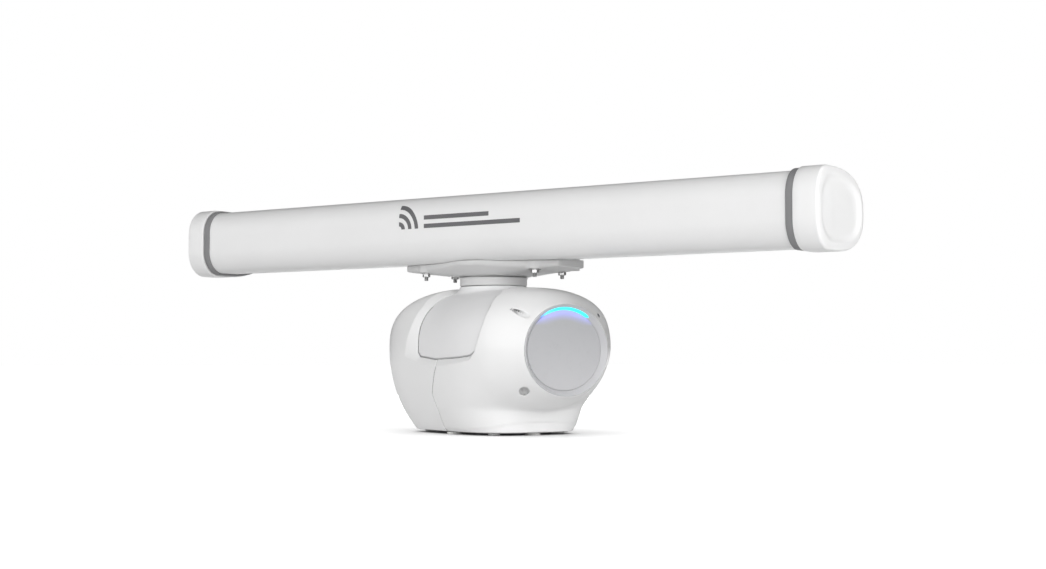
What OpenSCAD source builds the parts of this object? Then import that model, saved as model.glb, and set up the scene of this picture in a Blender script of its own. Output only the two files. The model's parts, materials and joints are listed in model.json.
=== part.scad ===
// Open-array marine radar: a rotating bar antenna on a pedestal.
// Millimetres, +Z up, floor at z = 0, spin axis on the Z axis, pedestal nose towards -Y.

/* [Antenna bar] */
// overall length of the bar over both end caps
bar_len = 1431; // [1100:1:2050]
// reach of the tube's flat back from the spin axis
tube_back = 102; // [80:1:120]
// reach of the tube's curved front from the spin axis
tube_front = 74; // [60:1:110]
// height of the radome tube
tube_h = 127; // [100:1:150]
// radius of the two corners at the tube's flat back
tube_r = 25; // [15:1:40]
// wall of the radome tube
tube_wall = 3; // [2:0.5:5]
// height of the bar's centre line above the floor
bar_z = 382; // [340:1:420]
// resting angle of the bar, clockwise from +X
bar_yaw = 67.8; // [0:0.1:90]

/* [End caps] */
// how far a cap stands proud of the tube
cap_proud = 6; // [3:0.5:10]
// visible length of a cap
cap_len = 45.5; // [30:0.5:70]
// width of the grey ring seal beside a cap
ring_w = 14; // [8:1:20]

/* [Mounting bracket] */
// stud spacing along the bar
stud_x = 252; // [200:1:300]
// stud spacing across the bar
stud_y = 91.2; // [60:0.2:120]
// stud diameter
stud_d = 8; // [6:1:10]

/* [Pedestal] */
// width of the pedestal at its belt
ped_w = 320; // [280:1:360]
// reach of the nose in front of the spin axis
ped_front = 240; // [200:1:260]
// reach of the back behind the spin axis
ped_rear = 182; // [150:1:200]
// height of the widest section
belt_z = 160; // [140:1:180]
// height of the casing's crown
crown_z = 274; // [260:1:290]
// casing wall
skin = 3; // [2.5:0.5:4]
// step from the casings down to the saddle
saddle_step = 8; // [4:1:12]

/* [Front disc] */
// half width of the disc
disc_a = 79; // [60:1:85]
// half height of the disc
disc_b = 72; // [60:1:80]
// height of the disc's centre
disc_z = 153.5; // [140:0.5:170]

/* [Neck and shaft] */
// diameter of the neck and of the fixed collar under it
neck_d = 127; // [110:1:140]
// main shaft diameter at the bearings
shaft_d = 35; // [30:5:40]
// outside diameter of the bearings
bearing_od = 62; // [55:1:72]

/* [Drive] */
// gear module
gear_m = 1.75; // [1.5:0.25:2]
// teeth on the drive gear
gear_teeth = 80; // [60:1:96]
// teeth on the motor pinion
pinion_teeth = 16; // [16:1:20]

/* [Base] */
// bolt spacing across the base
bolt_x = 140; // [120:1:180]
// bolt spacing front to back
bolt_y = 230; // [180:1:240]
// tapped hole radius in the base
bolt_r = 5.1; // [4.25:0.05:6]

/* [Hidden] */
$fn = 64;

half_len = bar_len / 2;
cap_x = half_len - cap_len;
tube_end = cap_x + 20;
tube_bot = bar_z - tube_h / 2;
neck_r = neck_d / 2;
shaft_r = shaft_d / 2;
brg_r = bearing_od / 2;
brg_w = 14;
brg_pitch = (shaft_r + brg_r) / 2;
ball_r = 4.4;
ball_n = 9;
upper_z = 236;
lower_z = 170;
gear_z = 152;
motor_y = gear_m * (gear_teeth + pinion_teeth) / 2;
n_front = 3.3;
n_rear = 4.5;
rim_y = ped_front + 5;

// ---- shapes shared by several pieces ----

// section of the bar, grown by g: flat back with two round corners, curved front
flat_y = -43;
function sec(g, k = 7, m = 24) = let (b = tube_h / 2 + g, w = tube_back + g,
  r = max(tube_r + g, 0.4 * b)) concat(
  [for (i = [0:m]) let (t = -90 + 180 * i / m)
    [flat_y + (tube_front - flat_y + g) * spow(cos(t), 0.8), b * spow(sin(t), 0.8)]],
  [for (i = [0:k]) let (t = 90 + 90 * i / k) [-w + r + r * cos(t), b - r + r * sin(t)]],
  [for (i = [0:k]) let (t = 180 + 90 * i / k) [-w + r + r * cos(t), -b + r + r * sin(t)]]);

// depth of the section's underside below the bar's centre line, in front of the flat
function under(y, g) = (tube_h / 2 + g)
  * pow(1 - pow(max(0, y - flat_y) / (tube_front - flat_y + g), 2.5), 0.4);

// stands a profile drawn in bar depth and height along the bar
module along_bar(x0, x1) {
  translate([x0, 0, bar_z]) rotate([90, 0, 90]) linear_extrude(height = x1 - x0) children();
}

// the bar's own frame: +X along the bar, -Y its front face
module bar_frame() {
  rotate([0, 0, -bar_yaw]) children();
}

module ring_tube(r_out, r_in, z0, z1) {
  translate([0, 0, z0]) difference() {
    cylinder(r = r_out, h = z1 - z0);
    translate([0, 0, -1]) cylinder(r = r_in, h = z1 - z0 + 2);
  }
}

function sgn(v) = v < 0 ? -1 : 1;
function spow(v, e) = sgn(v) * pow(abs(v), e);

// half width, nose reach and back reach of the pedestal at height z
function up(z) = min(0.9999, max(0, z - belt_z) / (crown_z - belt_z));
function ped_a(z) = z > belt_z ? ped_w / 2 * pow(1 - pow(up(z), 2.4), 1 / 2.4)
  : ped_w / 2 - 42 * pow((belt_z - z) / 150, 2);
function ped_f(z) = z > belt_z ? ped_front * pow(1 - pow(up(z), 2.8), 1 / 2.8)
  : max(163, ped_front - 76 * pow((belt_z - z) / 110, 1.6));
function ped_b(z) = z > belt_z ? ped_rear * pow(1 - pow(up(z), 2.8), 1 / 2.8)
  : ped_rear - 43 * pow((belt_z - z) / 150, 3);

// one closed outline of the pedestal, drawn inside its surface by the inset
function outline(a, f, b, n) = [for (i = [0:n - 1])
  let (t = 360 * i / n, e = sin(t) < 0 ? 2 / n_front : 2 / n_rear)
  [a * spow(cos(t), e), (sin(t) < 0 ? f : b) * spow(sin(t), e)]];

module loft(rings, zs) {
  n = len(rings[0]);
  m = len(rings);
  pts = [for (k = [0:m - 1]) for (p = rings[k]) [p[0], p[1], zs[k]]];
  sides = [for (k = [0:m - 2]) for (i = [0:n - 1]) let (j = (i + 1) % n)
    each [[k * n + i, k * n + j, (k + 1) * n + j], [k * n + i, (k + 1) * n + j, (k + 1) * n + i]]];
  low = [for (i = [0:n - 1]) n - 1 - i];
  high = [for (i = [0:n - 1]) (m - 1) * n + i];
  turned = [for (f = concat([low], sides, [high])) [for (i = [len(f) - 1:-1:0]) f[i]]];
  polyhedron(points = pts, faces = turned);
}

// the pedestal's outer form between two heights, drawn inside its surface by the inset
module ped_form(inset, z0, z1, n = 48) {
  steps = 18;
  zs = [for (k = [0:steps]) z0 + (z1 - z0) * sin(90 * k / steps)];
  loft([for (z = zs) let (h = z + inset * up(z))
    outline(ped_a(h) - inset, ped_f(h) - inset, ped_b(h) - inset, n)], zs);
}

function oval(a, b, n = 64) = [for (i = [0:n - 1]) [a * cos(360 * i / n), b * sin(360 * i / n)]];

// stands an outline drawn in x and z on a plane facing the nose, from y0 forwards to y1
module facing(y0, y1) {
  translate([0, y0, disc_z]) rotate([90, 0, 0]) linear_extrude(height = y0 - y1) children();
}

// extrudes a side outline, drawn in y and z, across the whole pedestal
module side_region(pts) {
  translate([-200, 0, 0]) rotate([90, 0, 90]) linear_extrude(height = 400) polygon(pts);
}

// ---- bar ----

module radome_tube() color([0.93, 0.93, 0.93]) bar_frame() difference() {
  along_bar(-tube_end, tube_end) difference() {
    polygon(sec(0));
    polygon(sec(-tube_wall));
  }
  for (i = [-1, 1], j = [-1, 1])
    translate([i * stud_x / 2, j * stud_y / 2, tube_bot - 1]) cylinder(d = stud_d + 1, h = 25);
  translate([0, 0, tube_bot - 1]) cylinder(r = 15, h = 10);
}

// domed cap with a shallow dish in its face, drawn upright on the bar's axis
module cap_form() {
  e = cap_len;
  ins = [1.2, 0, 0, 0.5, 1.6, 3.4, 9, 16, 22, 28, 36, 50];
  at = [0, 1.5, e - 6, e - 3.4, e - 1.8, e - 1, e - 0.3, e, e - 1.6, e - 3.6, e - 4.2, e - 3.4];
  difference() {
    loft([for (s = ins) sec(cap_proud - s)], at);
    translate([0, 0, -1]) linear_extrude(height = e - 8) polygon(sec(2));
  }
}

module end_cap_right() color([0.95, 0.95, 0.95]) bar_frame()
  resize([0, 0, 0]) translate([cap_x, 0, bar_z]) rotate([90, 0, 90]) cap_form();

module end_cap_left() color([0.95, 0.95, 0.95]) bar_frame() mirror([1, 0, 0])
  resize([0, 0, 0]) translate([cap_x, 0, bar_z]) rotate([90, 0, 90]) cap_form();

module ring_form() difference() {
  polygon(sec(3.8));
  polygon(sec(0.15));
}

module ring_seal_right() color([0.45, 0.45, 0.46]) bar_frame() along_bar(cap_x - ring_w, cap_x) ring_form();

module ring_seal_left() color([0.45, 0.45, 0.46]) bar_frame()
  along_bar(-cap_x, -cap_x + ring_w) ring_form();

// plain grey wave mark on the front face
module side_graphic() color([0.4, 0.4, 0.42]) bar_frame()
  translate([-18, -tube_back, bar_z + 2]) rotate([90, 0, 0])
  linear_extrude(height = 0.5) {
    for (i = [0:2]) difference() {
      translate([-130, 0]) circle(r = 14 + 16 * i);
      translate([-130, 0]) circle(r = 6 + 16 * i);
      translate([-230, -60]) square([100, 120]);
      translate([-131, -120]) square([100, 120]);
    }
    translate([-70, 0]) square([220, 8]);
    translate([-70, 16]) square([150, 8]);
  }

module strongback() color([0.7, 0.71, 0.73]) bar_frame() difference() {
  along_bar(-560, 560) polygon(concat(
    [for (y = [-70:10:40]) [y, -under(y, -3.6)]],
    [for (y = [40:-10:-70]) [y, -under(y, -9)]]));
  for (i = [-1, 1], j = [-1, 1])
    translate([i * stud_x / 2, j * stud_y / 2, tube_bot]) cylinder(d = stud_d, h = 40);
  translate([0, 0, tube_bot]) cylinder(r = 15, h = 20);
}

module slotted_waveguide() color([0.78, 0.62, 0.35]) bar_frame() difference() {
  translate([-620, -52.7, bar_z - 12.7]) cube([1240, 12.7, 25.4]);
  translate([-619, -51.4, bar_z - 11.4]) cube([1238, 10.1, 22.8]);
  for (i = [0:35]) translate([-560 + 32 * i, -43, bar_z + (i % 2 == 0 ? 3 : -4.6)]) cube([16, 4, 1.6]);
  translate([0, -46.4, bar_z - 14]) cylinder(r = 4, h = 4);
}

module flare(s) bar_frame() along_bar(-620, 620) polygon([[-52, s * 13], [-52, s * 14.5], [-38, s * 14.5],
  [48, s * 38.5], [48, s * 37], [-37.6, s * 13]]);

module horn_upper() color([0.75, 0.76, 0.78]) flare(1);

module horn_lower() color([0.75, 0.76, 0.78]) difference() {
  flare(-1);
  bar_frame() translate([0, -46.4, bar_z - 20]) cylinder(r = 9, h = 12);
}

module array_brackets() color([0.62, 0.63, 0.65]) bar_frame() for (i = [-3, -1, 1, 3])
  translate([i * 170 - 15, 0, 0]) {
    translate([0, -53, bar_z - 18]) cube([30, 13, 3.4]);
    translate([0, -56.9, bar_z - 18]) cube([30, 4, 30]);
    translate([0, -56.9, tube_bot + 9.1]) cube([30, 4, bar_z - 18 - tube_bot - 9]);
  }

module foam_supports() color([0.9, 0.88, 0.8]) bar_frame() for (i = [-3:3])
  translate([i * 180 + 60 * sgn(i + 0.5) - 12, 0, 0]) rotate([90, 0, 90]) linear_extrude(height = 24)
    polygon([[48, bar_z - 36.5], [-32, bar_z - 14], [-32, bar_z + 14], [48, bar_z + 36.5]]);

module feed_transition() color([0.8, 0.66, 0.38]) bar_frame() difference() {
  translate([-16, -53.8, bar_z - 36]) cube([32, 15, 21]);
  translate([0, -46.4, bar_z - 37]) cylinder(r = 3.2, h = 40);
}

// semi-rigid feed line from the rotary joint up to the waveguide
module feed_coax() color([0.72, 0.5, 0.3]) bar_frame() {
  translate([0, 0, 300.5]) cylinder(r = 2.5, h = 33.5);
  translate([0, 0, 334]) sphere(r = 2.5);
  translate([0, 0, 334]) rotate([90, 0, 0]) cylinder(r = 2.5, h = 46.4);
  translate([0, -46.4, 334]) sphere(r = 2.5);
  translate([0, -46.4, 334]) cylinder(r = 2.5, h = 38);
}

// cast plate under the tube: wide and deep in the middle, thin at both ends, following the
// tube's curve at the front
module mounting_bracket() color([0.88, 0.88, 0.88]) bar_frame() difference() {
  union() {
    hull() {
      for (i = [-1, 1], j = [-1, 1]) {
        translate([i * 172, j * 40, tube_bot - 14]) cylinder(r = 7, h = 14, $fn = 24);
        translate([i * 16, j * 78, tube_bot - 6]) cylinder(r = 6, h = 6, $fn = 24);
      }
      translate([0, 0, 291]) cylinder(r = 61, h = 10, $fn = 48);
    }
    for (i = [-1, 1]) hull() for (k = [-1, 1])
      translate([i * stud_x / 2 + 30 * k, 38, 303]) cube([1, 22, 42]);
    for (i = [-1, 1], j = [-1, 1])
      translate([i * stud_x / 2, j * stud_y / 2, 303]) cylinder(r = 14, h = tube_bot - 303 + 2);
  }
  along_bar(-300, 300) polygon(sec(0.1));
  for (i = [-1, 1], j = [-1, 1])
    translate([i * stud_x / 2, j * stud_y / 2, 280]) {
      cylinder(d = stud_d + 1, h = 70);
      cylinder(r = 10.5, h = 23);
    }
  for (i = [0:3]) rotate([0, 0, 45 + 90 * i]) {
    translate([40, 0, 280]) cylinder(r = 4.5, h = 60);
    translate([40, 0, 305]) cylinder(r = 8, h = 60);
  }
  translate([0, 0, 280]) cylinder(r = 15, h = 60);
}

module bracket_studs() color([0.6, 0.6, 0.62]) bar_frame() for (i = [-1, 1], j = [-1, 1])
  translate([i * stud_x / 2, j * stud_y / 2, 288]) cylinder(d = stud_d - 0.1, h = j > 0 ? 54 : 41);

module bracket_nuts() color([0.62, 0.62, 0.64]) bar_frame() for (i = [-1, 1], j = [-1, 1])
  translate([i * stud_x / 2, j * stud_y / 2, 294.4]) difference() {
    cylinder(r = 7.5, h = 6.8, $fn = 6);
    translate([0, 0, -1]) cylinder(d = stud_d, h = 10, $fn = 48);
  }

module bracket_washers() color([0.66, 0.66, 0.68]) bar_frame() for (i = [-1, 1], j = [-1, 1])
  translate([i * stud_x / 2, j * stud_y / 2, 0]) ring_tube(8.5, stud_d / 2 + 0.3, 301.3, 302.9);

// ---- neck, shaft and bearings ----

module hub_screws() color([0.6, 0.6, 0.62]) bar_frame() for (i = [0:3]) rotate([0, 0, 45 + 90 * i])
  translate([40, 0, 0]) {
    translate([0, 0, 305.1]) cylinder(r = 6.5, h = 8);
    translate([0, 0, 284]) cylinder(r = 3.95, h = 21.2);
  }

module neck_hub() color([0.9, 0.9, 0.9]) difference() {
  translate([0, 0, 275]) cylinder(r = neck_r, h = 15.9);
  translate([0, 0, 274]) cylinder(r = 30.2, h = 9);
  translate([0, 0, 274]) cylinder(r = 10, h = 20);
  bar_frame() for (i = [0:3]) rotate([0, 0, 45 + 90 * i])
    translate([40, 0, 279.5]) cylinder(r = 4, h = 20);
}

module main_shaft() color([0.68, 0.69, 0.71]) rotate_extrude() polygon([[9, 131], [shaft_r - 1, 131],
  [shaft_r, 132], [shaft_r, 250.05], [20, 250.05], [20, 258], [26, 258], [26, 274.6], [30, 274.6],
  [30, 282.9], [9, 282.9]]);

module outer_race(z) rotate_extrude() difference() {
  translate([brg_r - 3.8, z]) square([3.8, brg_w]);
  translate([brg_pitch, z + brg_w / 2]) circle(r = ball_r + 0.2, $fn = 48);
}

module inner_race(z) rotate_extrude() difference() {
  translate([shaft_r + 0.02, z]) square([3.78, brg_w]);
  translate([brg_pitch, z + brg_w / 2]) circle(r = ball_r + 0.2, $fn = 48);
}

module balls(z) for (i = [0:ball_n - 1]) rotate([0, 0, 360 * i / ball_n])
  translate([brg_pitch, 0, z + brg_w / 2]) sphere(r = ball_r);

// two thin rings joined by posts between the balls
module cage(z) {
  ring_tube(brg_pitch + 1.5, brg_pitch - 1.5, z + brg_w / 2 - 5.6, z + brg_w / 2 - 4.6);
  ring_tube(brg_pitch + 1.5, brg_pitch - 1.5, z + brg_w / 2 + 4.6, z + brg_w / 2 + 5.6);
  for (i = [0:ball_n - 1]) rotate([0, 0, 360 * (i + 0.5) / ball_n])
    translate([brg_pitch - 1, -1.5, z + brg_w / 2 - 5]) cube([2, 3, 10]);
}

module upper_inner_race() color([0.7, 0.7, 0.72]) inner_race(upper_z);

module lower_inner_race() color([0.7, 0.7, 0.72]) inner_race(lower_z);

module upper_outer_race() color([0.7, 0.7, 0.72]) outer_race(upper_z);

module lower_outer_race() color([0.7, 0.7, 0.72]) outer_race(lower_z);

module upper_bearing_balls() color([0.8, 0.8, 0.82]) balls(upper_z);

module lower_bearing_balls() color([0.8, 0.8, 0.82]) balls(lower_z);

module upper_bearing_cage() color([0.75, 0.6, 0.3]) cage(upper_z);

module lower_bearing_cage() color([0.75, 0.6, 0.3]) cage(lower_z);

module bearing_housing() color([0.7, 0.7, 0.71]) difference() {
  rotate_extrude() polygon([[28, 184.1], [brg_r + 0.02, 184.1], [brg_r + 0.02, 168], [38, 168],
    [38, 238], [44, 246], [58, 246], [58, 253.9], [brg_r + 0.02, 253.9], [brg_r + 0.02, 235.9],
    [28, 235.9]]);
  for (i = [0:5]) rotate([0, 0, 30 + 60 * i]) translate([50, 0, 240]) cylinder(r = 3.3, h = 20);
}

module housing_screws() color([0.6, 0.6, 0.62]) for (i = [0:5]) rotate([0, 0, 30 + 60 * i])
  translate([50, 0, 0]) {
    translate([0, 0, 239.9]) cylinder(r = 5, h = 6);
    translate([0, 0, 245.8]) cylinder(r = 2.95, h = 15);
  }

module shaft_seal() color([0.2, 0.2, 0.2]) ring_tube(38, 26.06, 260, 268);

module rotary_joint_rotor() color([0.8, 0.66, 0.38]) {
  translate([0, 0, 131.2]) cylinder(r = 8.9, h = 169.2);
  translate([0, 0, 126.6]) cylinder(r = 13, h = 4.3);
  translate([0, 0, 130]) cylinder(r = 6, h = 2);
}

module rotary_joint_stator() color([0.66, 0.67, 0.69]) {
  translate([0, 0, 96.1]) cylinder(r = 26, h = 5);
  translate([0, 0, 101]) cylinder(r = 17, h = 25);
}

// ---- drive ----

function inv(a) = tan(a) * 180 / PI - a;

function half_tooth(z, rho, slack) = 90 / z - slack + inv(20)
  - inv(acos(min(1, gear_m * z / 2 * cos(20) / rho)));

module gear_form(z, slack) {
  r = gear_m * z / 2;
  radii = [r - 1.2 * gear_m, r - 0.6 * gear_m, r, r + 0.45 * gear_m, r + 0.9 * gear_m];
  polygon([for (k = [0:z - 1]) each concat(
    [for (rho = radii) let (t = 360 * k / z - half_tooth(z, rho, slack)) [rho * cos(t), rho * sin(t)]],
    [for (i = [4:-1:0]) let (rho = radii[i], t = 360 * k / z + half_tooth(z, rho, slack))
      [rho * cos(t), rho * sin(t)]])]);
}

module drive_gear() color([0.75, 0.66, 0.42]) difference() {
  union() {
    translate([0, 0, gear_z]) linear_extrude(height = 10) gear_form(gear_teeth, 0.14);
    translate([0, 0, 150.1]) cylinder(r = 23, h = 19.8);
  }
  translate([0, 0, 149]) cylinder(r = shaft_r + 0.02, h = 30);
  for (i = [0:4]) rotate([0, 0, 72 * i]) translate([44, 0, 150]) cylinder(r = 12, h = 20);
}

module shaft_nut() color([0.6, 0.6, 0.62]) difference() {
  translate([0, 0, 140]) cylinder(r = 27, h = 10, $fn = 8);
  translate([0, 0, 139]) cylinder(r = shaft_r + 0.02, h = 12);
}

module azimuth_magnet() color([0.3, 0.3, 0.32]) translate([62, 0, 147.9]) cylinder(r = 4, h = 4);

module azimuth_sensor() color([0.15, 0.4, 0.2]) translate([62, 0, 0]) {
  translate([-9, -12, 141]) cube([18, 24, 1.6]);
  translate([-3, -3, 142.6]) cube([6, 6, 2.4]);
  translate([-4, -14, 96.2]) cube([8, 2, 44.8]);
  translate([-9, -14, 139]) cube([18, 3, 2]);
}

module motor_pinion() color([0.7, 0.7, 0.72]) translate([0, motor_y, 0]) difference() {
  translate([0, 0, 150.5]) linear_extrude(height = 13) rotate(180 / pinion_teeth)
    gear_form(pinion_teeth, 0.7);
  translate([0, 0, 149]) cylinder(r = 5.02, h = 20);
}

module motor_shaft() color([0.72, 0.72, 0.74]) translate([0, motor_y, 56]) cylinder(r = 5, h = 110);

module motor_rotor_stack() color([0.5, 0.5, 0.52]) translate([0, motor_y, 64]) difference() {
  cylinder(r = 21.5, h = 40);
  translate([0, 0, -1]) cylinder(r = 5.02, h = 42);
}

module motor_body() color([0.25, 0.26, 0.28]) translate([0, motor_y, 0]) difference() {
  union() {
    translate([0, 0, 52]) cylinder(r = 29, h = 60);
    translate([0, 0, 112]) cylinder(r = 31, h = 28.8);
    translate([0, 0, 140.7]) cylinder(r = 11, h = 7);
  }
  translate([0, 0, 60]) cylinder(r = 22.5, h = 48);
  translate([0, 0, 55]) cylinder(r = 5.06, h = 100);
  for (i = [0:3]) rotate([0, 0, 45 + 90 * i]) translate([24, 0, 128]) cylinder(r = 2, h = 20);
}

// plate on four posts that carries the motor over the base
module motor_stand() color([0.7, 0.7, 0.71]) difference() {
  union() {
    translate([-58, 43, 141]) cube([116, 82, 5]);
    for (i = [-1, 1], y = [50, 110]) translate([i * 50, y, 14.1]) cylinder(r = 6, h = 127);
  }
  translate([0, motor_y, 140]) cylinder(r = 18, h = 10);
  for (i = [0:3]) translate([0, motor_y, 0]) rotate([0, 0, 45 + 90 * i])
    translate([24, 0, 140]) cylinder(r = 2.3, h = 10);
}

module motor_screws() color([0.6, 0.6, 0.62]) for (i = [0:3]) translate([0, motor_y, 0])
  rotate([0, 0, 45 + 90 * i]) translate([24, 0, 0]) {
    translate([0, 0, 146.05]) cylinder(r = 3.8, h = 3);
    translate([0, 0, 130]) cylinder(r = 1.95, h = 16.1);
  }

// ---- pedestal ----

module base_casting() color([0.8, 0.8, 0.8]) difference() {
  union() {
    translate([0, 0, 4]) linear_extrude(height = 7) polygon(outline(117, 161, 139, 64));
    translate([0, 0, 4]) linear_extrude(height = 34) polygon(outline(109, 155, 131, 64));
    for (i = [-1, 1], j = [-1, 1]) translate([i * bolt_x / 2, j * bolt_y / 2, 0]) cylinder(r = 11, h = 23);
  }
  translate([0, 0, 14]) linear_extrude(height = 40) difference() {
    polygon(outline(103, 149, 125, 64));
    for (i = [-1, 1], j = [-1, 1]) translate([i * bolt_x / 2, j * bolt_y / 2]) circle(r = 11);
  }
  for (i = [-1, 1], j = [-1, 1]) translate([i * bolt_x / 2, j * bolt_y / 2, -1]) cylinder(r = bolt_r, h = 21);
  for (i = [-1, 1]) translate([i * 36, 110, 25]) rotate([-90, 0, 0]) cylinder(r = 8, h = 40);
}

module foot_pads() color([0.85, 0.85, 0.85]) for (p = [[-98, -22], [98, -22], [0, -136], [0, 116]])
  translate([p[0], p[1], 0]) cylinder(r = 14, h = 3.95);

// side outlines, y then z, of the two casings, the saddle and the opening between them
function front_side() = [[-260, 14], [-100, 12.5], [-21.3, 12], [-24, 42], [-21.3, 74], [-52.3, 123],
  [-152, 135], [-165, 153], [-172, 174], [-177, 202], [-175, 227], [-160, 251], [-134, 264],
  [-112, 280], [-260, 280]];
function rear_side() = [[-20.7, 12], [200, 12], [200, 280], [74, 280], [60, 270], [36, 262], [20, 236],
  [21, 206], [22, 151], [30, 140], [-51.7, 123], [-20.7, 74], [-23.4, 42]];
function saddle_side() = [[-100, 36], [-10, 36], [-30, 118], [42, 128], [42, 250], [66, 262], [90, 272],
  [-128, 272], [-150, 266], [-178, 251], [-196, 227], [-197, 190], [-188, 150], [-172, 128], [-120, 118]];

module nose_form(inset) hull() {
  intersection() {
    ped_form(inset, 76, crown_z - 0.5 - inset);
    translate([-200, -300, 0]) cube([400, 200, 240]);
  }
  facing(-200, -rim_y + inset) polygon(oval(90 - inset, 82 - inset));
}

module front_casing() color([0.92, 0.92, 0.92]) resize([0, 0, 0]) difference() {
  intersection() {
    union() {
      ped_form(0, 8, crown_z - 0.5);
      nose_form(0);
    }
    side_region(front_side());
  }
  ped_form(skin, 4, crown_z - 0.5 - skin);
  nose_form(skin);
  cylinder(r = neck_r + 5, h = 400);
  facing(-200, -260) polygon(oval(disc_a + 1.4, disc_b + 1.4));
  for (i = [-1, 1]) {
    translate([i * 84, -150, 214]) rotate([90, 0, 0]) cylinder(r = 7, h = 100, $fn = 32);
    translate([i * 57, -150, 83]) rotate([90, 0, 0]) cylinder(r = 8, h = 100, $fn = 32);
  }
}

module rear_casing() color([0.92, 0.92, 0.92]) resize([0, 0, 0]) difference() {
  intersection() {
    ped_form(0, 8, crown_z - 0.5);
    side_region(rear_side());
  }
  ped_form(skin, 4, crown_z - 0.5 - skin);
  cylinder(r = neck_r + 5, h = 400);
  translate([-62, 100, -1]) cube([124, 100, 43]);
}

module saddle_frame() color([0.84, 0.84, 0.85]) resize([0, 0, 0]) difference() {
  union() {
    difference() {
      intersection() {
        ped_form(saddle_step, 30, crown_z - 0.5 - saddle_step);
        side_region(saddle_side());
      }
      ped_form(saddle_step + 6, 20, crown_z - 6.5 - saddle_step);
    }
    translate([0, 0, 254]) cylinder(r = neck_r, h = crown_z - 254, $fn = 72);
    translate([0, 0, 254]) cylinder(r1 = neck_r + 8, r2 = neck_r, h = 9, $fn = 72);
    for (i = [-1, 1]) translate([i * 106 - 12, -95, 14.1]) cube([24, 80, 26]);
  }
  translate([0, 0, 250]) cylinder(r = 38.1, h = 40, $fn = 72);
  for (i = [0:5]) rotate([0, 0, 30 + 60 * i]) translate([50, 0, 250]) cylinder(r = 3, h = 14, $fn = 24);
  for (i = [-1, 1]) translate([i * 150 - 34, -120, 10]) cube([68, 140, 30]);
  translate([0, 0, 14.1]) linear_extrude(height = 24) difference() {
    square([400, 400], center = true);
    polygon(outline(102.7, 148.7, 124.7, 64));
  }
}

module transceiver_box() color([0.72, 0.73, 0.74]) difference() {
  translate([-86, -130, 42]) cube([172, 164, 50]);
  translate([-83, -127, 45]) cube([166, 158, 60]);
}

module transceiver_lid() color([0.66, 0.67, 0.68]) {
  translate([-86, -130, 92.05]) cube([172, 164, 4]);
  for (i = [-6:6]) translate([i * 12 - 1, -124, 96]) cube([2, 84, 16]);
}

module transceiver_board() color([0.1, 0.35, 0.2]) {
  translate([-80, -124, 52]) cube([160, 152, 1.6]);
  translate([-60, -100, 53.6]) cube([50, 50, 6]);
  translate([10, -90, 53.6]) cube([36, 36, 9]);
  translate([-30, -20, 53.6]) cube([60, 30, 14]);
  for (i = [-1, 1], y = [-118, 22]) translate([i * 74, y, 45.1]) cylinder(r = 3, h = 6.9);
}

module power_board() color([0.12, 0.3, 0.22]) {
  translate([-70, -100, 24]) cube([140, 120, 1.6]);
  translate([-50, -80, 25.6]) cube([24, 40, 14]);
  translate([0, -70, 25.6]) cube([44, 30, 10]);
  for (i = [-1, 1], y = [-92, 12]) translate([i * 62, y, 14.1]) cylinder(r = 3, h = 9.9);
  for (i = [-1, 1], y = [-96, 28]) translate([i * 79, y, 14.1]) cylinder(r = 4, h = 27.8);
}

module front_disc() color([0.75, 0.75, 0.77])
  facing(-ped_front + 5, -ped_front + 2) polygon(oval(disc_a - 0.4, disc_b - 0.4));

module disc_bezel() color([0.8, 0.8, 0.82]) resize([0, 0, 0]) difference() {
  facing(-ped_front + 6.5, -rim_y - 1) polygon(oval(disc_a + 1, disc_b + 1));
  hull() {
    facing(-ped_front + 2, -ped_front + 1.9) polygon(oval(disc_a - 2, disc_b - 2));
    facing(-rim_y, -rim_y - 2) polygon(oval(disc_a + 0.4, disc_b + 0.4));
  }
  facing(-ped_front + 7, -ped_front + 1.9) polygon(oval(disc_a - 0.1, disc_b - 0.1));
  light_arc(-ped_front + 8, -ped_front + 1, 0.2);
}

// arc-shaped light guide on the upper edge of the disc
module light_arc(y0, y1, grow) facing(y0, y1) polygon(concat(
  [for (i = [0:24]) let (t = 47 + 86 * i / 24)
    [(disc_a - 0.4 + grow * 2) * cos(t), (disc_b - 0.4 + grow * 2) * sin(t)]],
  [for (i = [24:-1:0]) let (t = 47 + 86 * i / 24) [(disc_a - 4) * cos(t), (disc_b - 4) * sin(t)]]));

module light_guide() color([0.2, 0.85, 1]) light_arc(-ped_front + 1.9, -ped_front + 1.2, -0.9);

module led_board() color([0.1, 0.35, 0.2]) {
  facing(-ped_front + 16, -ped_front + 14.4) difference() {
    polygon(oval(disc_a - 8, disc_b - 8));
    polygon(oval(disc_a - 26, disc_b - 26));
  }
  for (i = [-1, 1]) translate([i * (disc_a - 17), -ped_front + 14.4, disc_z]) rotate([90, 0, 0])
    cylinder(r = 3, h = 9.3);
  for (t = [55:14:125])
    translate([(disc_a - 12) * cos(t) - 2, -ped_front + 12, disc_z + (disc_b - 12) * sin(t) - 2])
    cube([4, 2.4, 4]);
}

module casing_screws() color([0.3, 0.3, 0.31]) for (i = [-1, 1]) {
  translate([i * 84, -170, 214]) rotate([90, 0, 0]) cylinder(r = 5, h = 9);
  translate([i * 84, -160, 214]) rotate([90, 0, 0]) cylinder(r = 3, h = 12);
  translate([i * 57, -166, 83]) rotate([90, 0, 0]) cylinder(r = 6, h = 9);
  translate([i * 57, -150, 83]) rotate([90, 0, 0]) cylinder(r = 3, h = 18);
}

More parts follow.
